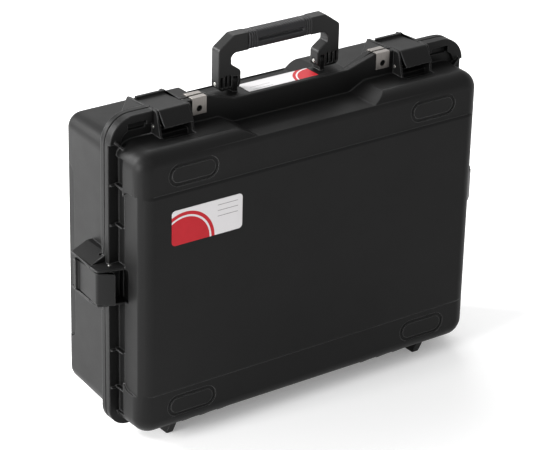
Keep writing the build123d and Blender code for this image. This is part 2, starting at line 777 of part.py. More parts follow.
# Handle frame: one moulding with two legs and a core for the grip
grip_mid = handle_top - handle_bar / 2
with BuildPart() as handle_frame:
    low = handle_pivot_height - leg_foot - body_mid
    high = handle_top - body_mid
    under = high - handle_bar
    shoulder = high - handle_chamfer_z
    block_end = leg_block_top - body_mid
    waist_start = block_end + leg_waist_rise
    bar_end = handle_half - handle_chamfer_x
    with BuildSketch(front_plane(-handle_front - handle_depth)):
        with BuildLine():
            FilletPolyline(
                (handle_half, low), (handle_half, shoulder), (bar_end, high), (-bar_end, high),
                (-handle_half, shoulder), (-handle_half, low), (-leg_block_inner, low),
                (-leg_block_inner, block_end), (-leg_waist_inner, waist_start), (-leg_waist_inner, under),
                (leg_waist_inner, under), (leg_waist_inner, waist_start),
                (leg_block_inner, block_end), (leg_block_inner, low),
                radius=[leg_foot - 1, 6, 6, 6, 6, leg_foot - 1, leg_foot - 1, leg_block_radius,
                        3, 8, 8, 3, leg_block_radius, leg_foot - 1], close=True,
            )
        make_face()
    extrude(amount=handle_depth)
    # the bar narrows to a core under the grip
    with BuildSketch(Plane.YZ.offset(-grip_half)):
        with Locations((parting_y + handle_axis_y, grip_mid)):
            Rectangle(2 * grip_depth, 2 * handle_bar)
            RectangleRounded(grip_core_depth, grip_core_height, 2.0, mode=Mode.SUBTRACT)
    extrude(amount=2 * grip_half, mode=Mode.SUBTRACT)
    # a slot in each leg for the base's lug, and shallow slots beside it in the leg's front
    slot_high = handle_pivot_height + lug_radius + lug_end_gap
    slot_height = slot_high - handle_pivot_height + leg_foot + 1
    for side in (-1, 1):
        with BuildSketch(front_plane(-handle_front + 1)):
            with Locations((side * (lug_inner + lug_width / 2), slot_high - slot_height / 2 - body_mid)):
                Rectangle(lug_width + 2 * lug_side_gap, slot_height)
        extrude(amount=-handle_depth - 2, mode=Mode.SUBTRACT)
        with BuildSketch(front_plane(-handle_front)):
            for x in leg_slots:
                with Locations((side * x, (leg_slot_low + leg_slot_high) / 2 - body_mid)):
                    RectangleRounded(leg_slot_width, leg_slot_high - leg_slot_low, 1.5)
        extrude(amount=-leg_slot_depth, mode=Mode.SUBTRACT)
    with BuildSketch(cross_plane(-2 * handle_half)):
        with Locations((handle_axis_y, handle_pivot_height)):
            Circle(handle_pin_diameter / 2 + handle_running_gap)
    extrude(amount=4 * handle_half, mode=Mode.SUBTRACT)
handle_frame.part.label = "handle_frame"

# Soft grip moulded round the core
with BuildPart() as handle_grip:
    with BuildSketch(Plane.YZ.offset(-grip_half)):
        with Locations((parting_y + handle_axis_y, grip_mid)):
            RectangleRounded(grip_depth, handle_bar + 1, grip_radius)
            RectangleRounded(grip_core_depth, grip_core_height, 2.0, mode=Mode.SUBTRACT)
    extrude(amount=2 * grip_half)
handle_grip.part.label = "handle_grip"

# Steel handle pins, pressed in the base's lugs and turning in the legs
handle_pin_length = handle_half - leg_block_inner + 2 * handle_pin_end
with BuildPart() as handle_pins:
    for start in (leg_block_inner - handle_pin_end, -handle_half - handle_pin_end):
        with BuildSketch(cross_plane(start)):
            with Locations((handle_axis_y, handle_pivot_height)):
                Circle(handle_pin_diameter / 2)
        extrude(amount=handle_pin_length)
handle_pins.part.label = "handle_pins"

# Labels
with BuildPart() as front_label:
    with BuildSketch(front_plane(lid_depth + panel_rise)):
        with Locations((label_x, label_z - body_mid)):
            RectangleRounded(label_width, label_height, label_radius)
    extrude(amount=label_thickness)
front_label.part.label = "front_label"
with BuildPart() as strip_label:
    with BuildSketch(Plane.XY.offset(block_top)):
        with Locations((0, parting_y + strip_label_front + strip_label_depth / 2)):
            RectangleRounded(strip_label_length, strip_label_depth, 2.0)
    extrude(amount=label_thickness)
strip_label.part.label = "strip_label"

# Pressure valve: body with a flange, its cap outside and its nut inside
with BuildPart() as valve_body:
    with BuildSketch(Plane.XY.offset(bay_floor)):
        with Locations((0, parting_y + valve_y)):
            Circle(valve_flange / 2)
    extrude(amount=valve_flange_height)
    with BuildSketch(Plane.XY.offset(bay_floor)):
        with Locations((0, parting_y + valve_y)):
            Circle(valve_thread / 2 - valve_gap)
    extrude(amount=-(back_wall + 1.5 + valve_nut_height + 1))
valve_body.part.label = "valve_body"
with BuildPart() as valve_cap:
    with BuildSketch(Plane.XY.offset(bay_floor + valve_flange_height)):
        with Locations((0, parting_y + valve_y)):
            Circle(valve_cap_diameter / 2)
    extrude(amount=valve_cap_height - valve_flange_height)
    fillet(valve_cap.faces().sort_by(Axis.Z)[-1].edges(), radius=1.0)
valve_cap.part.label = "valve_cap"
with BuildPart() as valve_nut_ring:
    with BuildSketch(Plane.XY.offset(bay_floor - back_wall - 1.5)):
        with Locations((0, parting_y + valve_y)):
            RegularPolygon(valve_nut / 2, 6)
            Circle(valve_thread / 2 + valve_gap, mode=Mode.SUBTRACT)
    extrude(amount=-valve_nut_height)
valve_nut_ring.part.label = "valve_nut"

finished += [handle_frame, handle_grip, handle_pins, front_label, strip_label]
finished += [valve_body, valve_cap, valve_nut_ring]

os.makedirs("parts", exist_ok=True)
for piece in finished:
    export_step(piece.part, "parts/" + piece.part.label + ".step")
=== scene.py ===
"""A moulded carrying case, standing on its hinge edge with its handle up and its latches closed."""
import json
import math
import bmesh
import bpy
import numpy as np
from mathutils import Matrix, Vector
from mathutils.bvhtree import BVHTree

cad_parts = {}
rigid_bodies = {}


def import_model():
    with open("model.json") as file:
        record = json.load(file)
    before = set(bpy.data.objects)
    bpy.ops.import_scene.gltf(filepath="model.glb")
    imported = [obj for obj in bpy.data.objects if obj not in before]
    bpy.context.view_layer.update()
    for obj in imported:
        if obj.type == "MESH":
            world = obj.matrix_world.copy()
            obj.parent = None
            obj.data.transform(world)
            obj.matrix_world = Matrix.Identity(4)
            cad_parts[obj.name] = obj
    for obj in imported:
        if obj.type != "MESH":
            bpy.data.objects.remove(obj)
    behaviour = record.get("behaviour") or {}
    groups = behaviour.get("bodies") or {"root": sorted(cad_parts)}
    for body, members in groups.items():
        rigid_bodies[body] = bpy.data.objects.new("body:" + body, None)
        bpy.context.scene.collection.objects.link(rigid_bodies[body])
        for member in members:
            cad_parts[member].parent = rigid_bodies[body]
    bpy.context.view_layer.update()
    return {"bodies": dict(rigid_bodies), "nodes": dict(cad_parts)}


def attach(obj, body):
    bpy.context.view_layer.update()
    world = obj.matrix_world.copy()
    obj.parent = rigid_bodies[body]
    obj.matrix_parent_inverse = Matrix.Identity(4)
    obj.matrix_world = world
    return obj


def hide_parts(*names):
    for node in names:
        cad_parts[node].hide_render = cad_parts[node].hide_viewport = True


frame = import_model()
scene = bpy.context.scene

# Studio: the camera stands in front, to the left and above, three metres off, and is rolled
# by a degree and a half. Soft boxes behind the case's left shoulder, at its left and overhead
# brush its side and top; the front is left to a weak fill. All lengths are in metres.
EYE = Vector((-1.5639, -2.1628, 1.4773))
AZIMUTH, ELEVATION, ROLL = (math.radians(a) for a in (35.818, 25.520, 1.451))


def add_object(name, data):
    """A new object in the scene that holds the data of a mesh, lamp or camera."""
    holder = bpy.data.objects.new(name, data)
    scene.collection.objects.link(holder)
    return holder


camera_data = bpy.data.cameras.new("camera")
camera = add_object("camera", camera_data)
forward = Vector((math.sin(AZIMUTH) * math.cos(ELEVATION),
                  math.cos(AZIMUTH) * math.cos(ELEVATION), -math.sin(ELEVATION)))
level = Vector((math.cos(AZIMUTH), -math.sin(AZIMUTH), 0.0))
upright = level.cross(forward)
right = level * math.cos(ROLL) + upright * math.sin(ROLL)
above = upright * math.cos(ROLL) - level * math.sin(ROLL)
camera.matrix_world = Matrix(((right.x, above.x, -forward.x, EYE.x),
                              (right.y, above.y, -forward.y, EYE.y),
                              (right.z, above.z, -forward.z, EYE.z), (0, 0, 0, 1)))
camera_data.sensor_width = 36.0
camera_data.lens = 161.585
camera_data.clip_end = 50.0
scene.camera = camera
scene.view_settings.view_transform = "Standard"


def soft_box(name, place, target, size, watts):
    """A square lamp at place that faces target."""
    lamp = bpy.data.lights.new(name, "AREA")
    lamp.size = size
    lamp.energy = watts
    holder = add_object(name, lamp)
    holder.location = place
    holder.rotation_euler = (Vector(target) - Vector(place)).to_track_quat("-Z", "Y").to_euler()


soft_box("back_left_soft_box", (-1.6, 1.25, 1.30), (-0.2, 0, 0.30), size=0.9, watts=88.0)
soft_box("left_soft_box", (-2.3, -0.25, 0.80), (-0.2, 0, 0.2), size=0.8, watts=74.0)
soft_box("overhead_soft_box", (0.5, 1.3, 2.2), (0, 0, 0.2), size=1.4, watts=30.0)
soft_box("front_fill", (-0.4, -3.0, 2.4), (0, 0, 0.2), size=1.6, watts=8.0)


def add_node(tree, kind, links=None, **settings):
    """Add a node of a kind. Settings are its own attributes, or values of inputs named with a
    leading i_ and the input's name or number; links maps an input's name or number to another
    node's output."""
    node = tree.nodes.new(kind)
    for key, value in settings.items():
        if key.startswith("i_"):
            name = key[2:].replace("_", " ")
            node.inputs[int(name) if name.isdigit() else name].default_value = value
        else:
            setattr(node, key, value)
    for name, output in (links or {}).items():
        tree.links.new(output, node.inputs[name])
    return node


def shows_backdrop(tree):
    """Output that is 1 on camera, gloss and transmission rays, which see the studio as white, and
    0 on all others: the largest of those three flags."""
    rays = add_node(tree, "ShaderNodeLightPath").outputs
    seen = add_node(tree, "ShaderNodeMath",
                    {0: rays["Is Camera Ray"], 1: rays["Is Glossy Ray"]}, operation="MAXIMUM")
    shown = add_node(tree, "ShaderNodeMath",
                     {0: seen.outputs[0], 1: rays["Is Transmission Ray"]}, operation="MAXIMUM")
    return shown.outputs[0]


WHITE = (1, 1, 1, 1)
world = bpy.data.worlds.new("studio")
scene.world = world
world.use_nodes = True
tree = world.node_tree
tree.nodes.clear()
fill = add_node(tree, "ShaderNodeBackground", i_Color=WHITE, i_Strength=0.55)
backdrop = add_node(tree, "ShaderNodeBackground", i_Color=WHITE, i_Strength=1.0)
sky = add_node(tree, "ShaderNodeMixShader",
               {0: shows_backdrop(tree), 1: fill.outputs[0], 2: backdrop.outputs[0]})
add_node(tree, "ShaderNodeOutputWorld", {"Surface": sky.outputs[0]})

# Floor: white studio paper. The case really opens lying on its back. Upright, its lid swings
# down through the floor, so a leaf of the paper in front of the hinge line belongs to the lid
# and folds away below it.
FLOOR_HALF = 12.0
LEAF_HALF, LEAF_FRONT, LEAF_BACK = 0.75, -1.2, -0.037
GLOW_NEAR, GLOW_FAR = 0.7, 2.6
LEVEL_Z = 0.9  # Height of the normal above which the paper counts as level.


def linear(code):
    """Turn an sRGB hex colour to linear: c/12.92 below 0.04045, else ((c+0.055)/1.055) to the
    power 2.4."""
    c = np.array([int(code[i:i + 2], 16) / 255 for i in (0, 2, 4)])
    return (*np.where(c <= 0.04045, c / 12.92, ((c + 0.055) / 1.055) ** 2.4), 1.0)


def new_material(name):
    """A new material, its node tree and its Principled shader."""
    material = bpy.data.materials.new(name)
    material.use_nodes = True
    return material, material.node_tree, material.node_tree.nodes["Principled BSDF"]


# Matt white paper. The lamps light it only round the case, so its glow grows with the distance.
paper, tree, shader = new_material("white_studio_paper")
shader.inputs["Base Color"].default_value = linear("f2f2f2")
shader.inputs["Roughness"].default_value = 0.9
place = add_node(tree, "ShaderNodeTexCoord").outputs["Object"]
middle = add_node(tree, "ShaderNodeVectorMath", {0: place}, operation="LENGTH")
far = add_node(tree, "ShaderNodeMapRange", {"Value": middle.outputs["Value"]},
               i_From_Min=GLOW_NEAR, i_From_Max=GLOW_FAR, i_To_Min=0.20, i_To_Max=0.55)
glow = add_node(tree, "ShaderNodeMath", {0: shows_backdrop(tree), 1: far.outputs["Result"]},
                operation="MULTIPLY")
shader.inputs["Emission Color"].default_value = WHITE
tree.links.new(glow.outputs[0], shader.inputs["Emission Strength"])
# Paper that doesn't lie level is clear, so the leaf is gone once the lid has folded it away.
normal = add_node(tree, "ShaderNodeNewGeometry").outputs["True Normal"]
facing = add_node(tree, "ShaderNodeSeparateXYZ", {0: normal})
upward = add_node(tree, "ShaderNodeMath", {0: facing.outputs["Z"]}, operation="ABSOLUTE")
lying = add_node(tree, "ShaderNodeMath", {0: upward.outputs[0]}, operation="GREATER_THAN",
                 i_1=LEVEL_Z)
clear = add_node(tree, "ShaderNodeBsdfTransparent")
surface = add_node(tree, "ShaderNodeMixShader",
                   {0: lying.outputs[0], 1: clear.outputs[0], 2: shader.outputs[0]})
tree.links.new(surface.outputs[0], tree.nodes["Material Output"].inputs["Surface"])


def floor_part(name, points, faces):
    """A level part of the floor: the faces over a block of the grid of points."""
    mesh = bpy.data.meshes.new(name)
    mesh.from_pydata(points.reshape(-1, 3), [], faces)
    mesh.materials.append(paper)
    return add_object(name, mesh)


# Four by four points bound nine fields: the middle one is the leaf, the others are the floor.
lines_x, lines_y = np.meshgrid((-FLOOR_HALF, -LEAF_HALF, LEAF_HALF, FLOOR_HALF),
                               (-FLOOR_HALF, LEAF_FRONT, LEAF_BACK, FLOOR_HALF))
grid = np.stack([lines_x, lines_y, 0 * lines_x], -1)
leaf = floor_part("floor_leaf", grid[1:3, 1:3], [(0, 1, 3, 2)])
leaf.parent = frame["bodies"]["lid"]
floor = floor_part("floor", grid, [(k, k + 1, k + 5, k + 4) for k in (0, 1, 2, 4, 6, 8, 9, 10)])

# Moulded shells: two halves of black polypropylene, injection moulded in a spark-eroded
# mould, so the skin has a fine even grain. Every edge leaves the mould slightly rounded.
SHELL_EDGE = 0.0009   # Rounded in the shells' meshes.
EDGE_RADIUS = 0.0012  # Rounded in the shading of every plastic, whose sharp edges get a paler painted highlight.
EDGE_SAMPLES = 4
# Painted highlight: the paler grey that the sharp edges of every plastic are coloured towards, in
# place of the light their rounding catches.
EDGE_HIGHLIGHT_GREY = "585858"
LEAN_START, LEAN_FULL = 0.99, 0.80  # Cosines between the rounded and the flat normal.
CLOUD_SIZE, RUB_SIZE = 0.090, 0.025
RUB_CHANGE = 0.07
GRAIN_STRENGTH = 0.35


def moulded_plastic(name, dark, pale, roughness, grain_mm, grain_height, specular, ior=1.49):
    """Plastic with a moulded skin. Its colour wanders between two tones over CLOUD_SIZE, its
    roughness over RUB_SIZE, and the mould's grain is a bump. A bevel of EDGE_RADIUS turns the
    light at its sharp edges. Where that normal leans off the surface's own, by their dot
    product, the colour is mixed towards a paler grey: a painted highlight along the edges."""
    material, tree, shader = new_material(name)
    shader.inputs["IOR"].default_value = ior
    shader.inputs["Specular IOR Level"].default_value = specular
    place = add_node(tree, "ShaderNodeTexCoord").outputs["Object"]
    clouds = add_node(tree, "ShaderNodeTexNoise", {"Vector": place}, i_Scale=1 / CLOUD_SIZE,
                      i_Detail=3.0)
    tone = add_node(tree, "ShaderNodeMix", {"Factor": clouds.outputs["Fac"]}, data_type="RGBA",
                    i_6=linear(dark), i_7=linear(pale))
    arris = add_node(tree, "ShaderNodeBevel", samples=EDGE_SAMPLES, i_Radius=EDGE_RADIUS)
    own = add_node(tree, "ShaderNodeNewGeometry")
    lean = add_node(tree, "ShaderNodeVectorMath",
                    {0: arris.outputs["Normal"], 1: own.outputs["Normal"]},
                    operation="DOT_PRODUCT")
    # Painted highlight along the edges: the colour goes paler the more the rounded normal leans off
    # the flat one.
    edge_highlight_amount = add_node(tree, "ShaderNodeMapRange", {"Value": lean.outputs["Value"]},
                       i_From_Min=LEAN_START, i_From_Max=LEAN_FULL)
    skin = add_node(tree, "ShaderNodeMix", {0: edge_highlight_amount.outputs["Result"], 6: tone.outputs[2]},
                    data_type="RGBA", i_7=linear(EDGE_HIGHLIGHT_GREY))
    tree.links.new(skin.outputs[2], shader.inputs["Base Color"])
    rub = add_node(tree, "ShaderNodeTexNoise", {"Vector": place}, i_Scale=1 / RUB_SIZE,
                   i_Detail=4.0)
    shine = add_node(tree, "ShaderNodeMapRange", {"Value": rub.outputs["Fac"]},
                     i_To_Min=roughness - RUB_CHANGE, i_To_Max=roughness + RUB_CHANGE)
    tree.links.new(shine.outputs["Result"], shader.inputs["Roughness"])
    grain = add_node(tree, "ShaderNodeTexNoise", {"Vector": place}, i_Scale=1000 / grain_mm,
                     i_Detail=2.0)
    bump = add_node(tree, "ShaderNodeBump",
                    {"Height": grain.outputs["Fac"], "Normal": arris.outputs["Normal"]},
                    i_Strength=GRAIN_STRENGTH, i_Distance=grain_height)
    tree.links.new(bump.outputs["Normal"], shader.inputs["Normal"])
    return material


# A dull, slightly waxy black. The real grain is about 0.2 mm; it is drawn at 1.2 mm to show.
polypropylene = moulded_plastic("grained_black_polypropylene", "0d0d0d", "131313", roughness=0.46,
                                grain_mm=1.2, grain_height=0.00012, specular=0.11)

# How the edges of a CAD mesh are rounded. NARROW_STRIP, STRAY and REACH are in widths of the
# rounding, and the DOT values are cosines.
DOUBLES, SHORTEST = 2e-6, 1e-9
FLAT_TURN, SHARP_TURN = math.radians(1.0), math.radians(28.0)
NARROW_STRIP, STRAY, REACH = 2.2, 0.8, 1.5
DOT_OPPOSITE, DOT_FOLDED = -0.3, -0.1
SPECK_AREA = 1e-8
TRIES = 8
SHADING_WEIGHT = 50


def strip_weights(shape, weight, width):
    """Take the weight off each edge that has another weighted edge across a strip of one of its
    faces narrower than NARROW_STRIP widths, measured from the edge's middle to the other edge."""
    narrow = set()
    for face in shape.faces:
        rims = [loop for loop in face.loops if loop.edge[weight]]
        if len(rims) < 2:
            continue
        start = np.array([loop.vert.co for loop in rims])
        end = np.array([loop.link_loop_next.vert.co for loop in rims])
        span = np.maximum(np.linalg.norm(end - start, axis=1), SHORTEST)
        way = (end - start) / span[:, None]
        inwards = np.cross(np.array(face.normal)[None], way)
        offset = (start + end)[:, None] / 2 - start[None]
        t = np.clip(np.einsum("ijk,jk->ij", offset, way), 0, span[None])
        apart = np.linalg.norm(offset - t[..., None] * way[None], axis=2)
        apart[inwards @ inwards.T > DOT_OPPOSITE] = np.inf
        least = np.minimum(apart.min(1), apart.min(0))
        narrow.update(rims[k].edge for k in np.flatnonzero(least < NARROW_STRIP * width))
    for edge in narrow:
        edge[weight] = 0.0


def shade_smooth(mesh, crease):
    """Shade a mesh smooth, but keep each edge that turns by more than crease sharp."""
    mesh.polygons.foreach_set("use_smooth", np.ones(len(mesh.polygons), bool))
    mesh.set_sharp_from_angle(angle=crease)


def softened(node, name, body, width, segments=2):
    """A copy of a CAD node with its doubles merged, its flat facets joined and its edges rounded
    by width. Normals weighted by area keep the flat faces beside a rounding flat to the eye.

    Every edge that turns by more than SHARP_TURN is rounded, unless it borders a narrow strip.
    Where the rounded surface folds over, or leaves the source by more than STRAY widths, the
    edges within REACH widths of that place, and its distance from the source, stay sharp, and it
    is tried again."""
    mesh = frame["nodes"][node].data.copy()
    mesh.name = name
    mesh.materials.clear()
    piece = add_object(name, mesh)
    shape = bmesh.new()
    shape.from_mesh(mesh)
    bmesh.ops.remove_doubles(shape, verts=shape.verts, dist=DOUBLES)
    bmesh.ops.dissolve_limit(shape, angle_limit=FLAT_TURN, verts=shape.verts, edges=shape.edges)
    weight = shape.edges.layers.float.new("bevel_weight_edge")
    turned = [e for e in shape.edges if e.calc_face_angle(0.0) > SHARP_TURN]
    numbers = [e.index for e in turned]
    for edge in turned:
        edge[weight] = 1.0
    strip_weights(shape, weight, width)
    start, end = (np.array([e.verts[k].co for e in turned]) for k in (0, 1))
    span = np.linalg.norm(end - start, axis=1)
    source = BVHTree.FromBMesh(shape)
    shape.to_mesh(mesh)
    shape.free()
    shade_smooth(mesh, SHARP_TURN)
    bevel = piece.modifiers.new("rounded_edges", "BEVEL")
    bevel.width = width
    bevel.segments = segments
    bevel.limit_method = "WEIGHT"
    bevel.use_clamp_overlap = False
    weights = mesh.attributes["bevel_weight_edge"].data
    for _ in range(TRIES):
        rounded = piece.evaluated_get(bpy.context.evaluated_depsgraph_get())
        result = rounded.to_mesh()
        off = [(*v.co, source.find_nearest(v.co)[3]) for v in result.vertices]
        faults = [spot for spot in off if spot[3] > STRAY * width]
        faults += [(*p.center, 0.0) for p in result.polygons if p.area > SPECK_AREA
                   and source.find_nearest(p.center)[1].dot(p.normal) < DOT_FOLDED]
        rounded.to_mesh_clear()
        if not faults:
            break
        spots, reach = np.array(faults)[:, :3], REACH * width + np.array(faults)[:, 3]
        t = np.einsum("ijk,jk->ij", spots[:, None] - start[None], end - start) / span ** 2
        near = start[None] + np.clip(t, 0, 1)[..., None] * (end - start)[None]
        close = (np.linalg.norm(spots[:, None] - near, axis=2) < reach[:, None]).any(0)
        if not close.any():
            break
        for k in np.flatnonzero(close):
            weights[numbers[k]].value = 0.0
        mesh.update()
    even = piece.modifiers.new("even_shading", "WEIGHTED_NORMAL")
    even.mode = "FACE_AREA"
    even.weight = SHADING_WEIGHT
    even.keep_sharp = True
    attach(piece, body)
    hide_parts(node)
    return piece


for half in ("lid", "base"):
    shell = softened(half + "_shell", half + "_shell_moulding", half, SHELL_EDGE)
    shell.data.materials.append(polypropylene)

# Rim seal: a closed ring of soft black rubber, extruded and laid in the base's groove.
# It is matt and a little dusty, and shows only when the lid is up.
# The grain of its skin is finer than 0.1 mm; it is drawn at 0.6 mm to show.
seal_rubber = moulded_plastic("extruded_epdm_rubber", "161616", "1f1f1e", roughness=0.75,
                              grain_mm=0.6, grain_height=0.00005, specular=0.35)
frame["nodes"]["rim_seal"].data.materials.clear()
frame["nodes"]["rim_seal"].data.materials.append(seal_rubber)

# Pins: ground steel rod cut to length, with the cut ends broken by a small chamfer. They
# run through the hinge knuckles, the latch cheeks and the feet of the handle.
PIN_EDGE = 0.0004
PIN_BODIES = {"hinge_pins": "base", "latch_pins": "lid", "catch_pins": "base",
              "handle_pins": "base"}


def worked_steel(name, dark, pale, marks, smooth, rough, relief, detail, strength, height):
    """Bare steel. A noise stretched to the size of its marks in x, y and z takes its colour from
    dark to pale and its roughness from smooth to rough, and one stretched to its relief is a
    bump."""
    material, tree, shader = new_material(name)
    shader.inputs["Metallic"].default_value = 1.0
    place = add_node(tree, "ShaderNodeTexCoord").outputs["Object"]
    noises = []
    for sizes, fineness in ((marks, 3.0), (relief, detail)):
        drawn = add_node(tree, "ShaderNodeMapping", {"Vector": place},
                         i_Scale=[1 / size for size in sizes])
        noises.append(add_node(tree, "ShaderNodeTexNoise", {"Vector": drawn.outputs["Vector"]},
                               i_Scale=1.0, i_Detail=fineness).outputs["Fac"])
    tone = add_node(tree, "ShaderNodeMix", {"Factor": noises[0]}, data_type="RGBA",
                    i_6=linear(dark), i_7=linear(pale))
    tree.links.new(tone.outputs[2], shader.inputs["Base Color"])
    dull = add_node(tree, "ShaderNodeMapRange", {"Value": noises[0]}, i_To_Min=smooth,
                    i_To_Max=rough)
    tree.links.new(dull.outputs["Result"], shader.inputs["Roughness"])
    bump = add_node(tree, "ShaderNodeBump", {"Height": noises[1]}, i_Strength=strength,
                    i_Distance=height)
    tree.links.new(bump.outputs["Normal"], shader.inputs["Normal"])
    return material


# Bright zinc-grey, faintly clouded. The marks of the grinding wheel are drawn at 0.4 mm to show.
pin_steel = worked_steel("ground_steel_rod", "8f8e8b", "b8b7b3", marks=(0.006, 0.006, 0.006),
                         smooth=0.28, rough=0.42, relief=(0.0004, 0.0004, 0.0004), detail=1.0,
                         strength=0.2, height=0.00002)
for node, body in PIN_BODIES.items():
    rods = softened(node, node + "_rods", body, PIN_EDGE)
    rods.data.materials.append(pin_steel)

# Latches: each a cover and a hook of black glass-filled nylon, moulded apart and joined. The
# cover's nose leans forwards, and its back end is a raised grip strip with ridges across it.
PARTING = -0.02665  # Where lid and base meet, in y.
COVER_WIDTH, COVER_EDGE, HOOK_EDGE = 0.040, 0.0011, 0.0006
# Corners behind the parting plane and out from the wall, and how far each is cut back to round it.
COVER_SECTION = np.array([
    (35.0, 30.5), (31.0, 30.5), (30.0, 26.5), (-16.5, 30.5), (-29.5, 12.5), (-26.0, 12.5),
    (-13.972, 27.0), (30.0, 23.0), (35.0, 23.0)]) / 1000
COVER_ROUND = np.array([1.0, 0.5, 0.8, 3.2, 1.1, 1.1, 0.8, 0.8, 1.1]) / 1000
CURVE_POINTS, CREASE = 5, math.radians(40.0)
RIDGE_PITCH, RIDGE_DEPTH, RIDGE_START, RIDGED_HALF = 0.0020, 0.0006, 0.0302, 0.0185
RIDGE_POINTS = 6
DOT_RIDGED = 0.3
# The middle of each latch on its wall, the way out of the wall, and the way across the cover.
LATCHES = {
    "top_left": ((-0.173, PARTING, 0.383), (0, 0, 1), (1, 0, 0)),
    "top_right": ((0.173, PARTING, 0.383), (0, 0, 1), (1, 0, 0)),
    "side_left": ((-0.2465, PARTING, 0.209), (-1, 0, 0), (0, 0, 1)),
    "side_right": ((0.2465, PARTING, 0.209), (1, 0, 0), (0, 0, -1)),
}


def round_section(corners, cuts):
    """Closed outline whose corner C is cut off at distance d on both sides, at A and B, and bridged
    by the parabola (1-t)^2 A + 2t(1-t) C + t^2 B. Returns the points and their outward normals."""
    before = np.roll(corners, 1, 0) - corners
    after = np.roll(corners, -1, 0) - corners
    cut = cuts[:, None]
    a = (corners + before / np.linalg.norm(before, axis=1)[:, None] * cut)[:, None]
    b = (corners + after / np.linalg.norm(after, axis=1)[:, None] * cut)[:, None]
    t = np.linspace(0, 1, CURVE_POINTS)[None, :, None]
    points = ((1 - t) ** 2 * a + 2 * t * (1 - t) * corners[:, None] + t ** 2 * b).reshape(-1, 2)
    following = np.roll(points, -1, 0)
    along = following - np.roll(points, 1, 0)
    normals = np.stack([along[:, 1], -along[:, 0]], 1) / np.linalg.norm(along, axis=1)[:, None]
    turn = np.sum(points[:, 0] * following[:, 1] - following[:, 0] * points[:, 1])
    return points, normals * np.sign(turn)


def ring_mesh(name, rings, joined=False):
    """Surface through rings of points (ring, point, xyz): four-sided faces join point j and j+1 of
    ring i and i+1. The two end rings are closed by a face each, or joined to each other where
    joined is set."""
    count, around = rings.shape[:2]
    i, j = np.meshgrid(np.arange(count if joined else count - 1), np.arange(around), indexing="ij")
    over, beside = (i + 1) % count, (j + 1) % around
    faces = np.stack([i * around + j, i * around + beside,
                      over * around + beside, over * around + j], -1).reshape(-1, 4).tolist()
    if not joined:
        faces += [list(range(around))[::-1], list(range((count - 1) * around, count * around))]
    mesh = bpy.data.meshes.new(name)
    mesh.from_pydata(rings.reshape(-1, 3), [], faces)
    shape = bmesh.new()
    shape.from_mesh(mesh)
    bmesh.ops.recalc_face_normals(shape, faces=shape.faces)
    shape.to_mesh(mesh)
    shape.free()
    shade_smooth(mesh, CREASE)
    return add_object(name, mesh)


# Smoother than the shells and a little glossier, as filled nylon is. Its grain, under 0.1 mm,
# is drawn at 0.9 mm to show.
nylon = moulded_plastic("glass_filled_black_nylon", "0a0a0a", "101010", roughness=0.40,
                        grain_mm=0.9, grain_height=0.00007, specular=0.11, ior=1.53)
section, outward = round_section(COVER_SECTION, COVER_ROUND)
# Along the cover's width: both ends are rounded by a quarter circle, and the ridges between are a
# cosine wave, sunk below the top and the back of the grip strip only.
turn_in = np.linspace(0, math.pi / 2, CURVE_POINTS)
end_places = COVER_WIDTH / 2 - COVER_EDGE * (1 - np.sin(turn_in))
end_insets = COVER_EDGE * (1 - np.cos(turn_in))
inner_steps = round(2 * RIDGED_HALF / RIDGE_PITCH * RIDGE_POINTS)
inner_places = np.linspace(-RIDGED_HALF, RIDGED_HALF, inner_steps + 1)
across = np.concatenate([-end_places[::-1], inner_places, end_places])
inset = np.concatenate([end_insets[::-1], 0 * inner_places, end_insets])
ridged = (section[:, 0] > RIDGE_START) & (outward > DOT_RIDGED).any(1)
wave = 0.5 - 0.5 * np.cos(2 * math.pi * across / RIDGE_PITCH)
valley = np.where(np.abs(across) <= RIDGED_HALF, wave, 0)
sunk = inset[:, None] + RIDGE_DEPTH * valley[:, None] * ridged[None, :]
flat_section = section[None] - outward[None] * sunk[..., None]
for name, (origin, out, width_way) in LATCHES.items():
    rings = (np.array(origin) + flat_section[..., :1] * np.array((0, 1, 0))
             + flat_section[..., 1:] * np.array(out)
             + across[:, None, None] * np.array(width_way))
    cover = ring_mesh("latch_cover_" + name + "_moulding", rings)
    cover.data.materials.append(nylon)
    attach(cover, "latch_" + name)
    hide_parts("latch_cover_" + name)
    hook = softened("latch_hook_" + name, "latch_hook_" + name + "_moulding", "latch_" + name,
                    HOOK_EDGE)
    hook.data.materials.append(nylon)

# Padlock plates: stainless strip, punched for a padlock and bent over the flange's edge. The
# rolling grain runs up the plate, and the punch leaves the hole's edge slightly round.
PLATE_EDGE = 0.00025
# Warm silver with upright brush lines. The real ones are hair-thin; they are drawn 0.6 mm wide.
BRUSH_LINES = (0.0006, 0.0006, 0.018)
plate_steel = worked_steel("rolled_stainless_strip", "6a6663", "908c88", marks=BRUSH_LINES,
                           smooth=0.30, rough=0.46, relief=BRUSH_LINES, detail=3.0,
                           strength=0.25, height=0.00004)
for half in ("lid", "base"):
    for side in ("left", "right"):
        node = f"padlock_plate_{half}_{side}"
        plate = softened(node, node + "_pressing", half, PLATE_EDGE)
        plate.data.materials.append(plate_steel)

# Handle: a frame of glass-filled nylon with a soft grip moulded round its bar. The grip has a
# ringed collar at each end, low ribs over its top and one long groove along each flank.
HANDLE_EDGE = 0.0010
# The latches' nylon, a shade paler and with more sheen, polished by the hand.
handle_nylon = moulded_plastic("handle_glass_filled_nylon", "0c0c0c", "141414", roughness=0.40,
                               grain_mm=0.9, grain_height=0.00007, specular=0.18, ior=1.53)
handle = softened("handle_frame", "handle_frame_moulding", "handle", HANDLE_EDGE, segments=3)
handle.data.materials.append(handle_nylon)

GRIP_HALF, GRIP_MID = 0.045, np.array((0, PARTING + 0.0272, 0.455))
GRIP_SIZE, GRIP_BORE = np.array((0.020, 0.023)), np.array((0.011, 0.010))
GRIP_POWER, BORE_POWER = 3.4, 6.0
RIM_POINTS, GRIP_RINGS, BORE_RINGS = 160, 271, 4
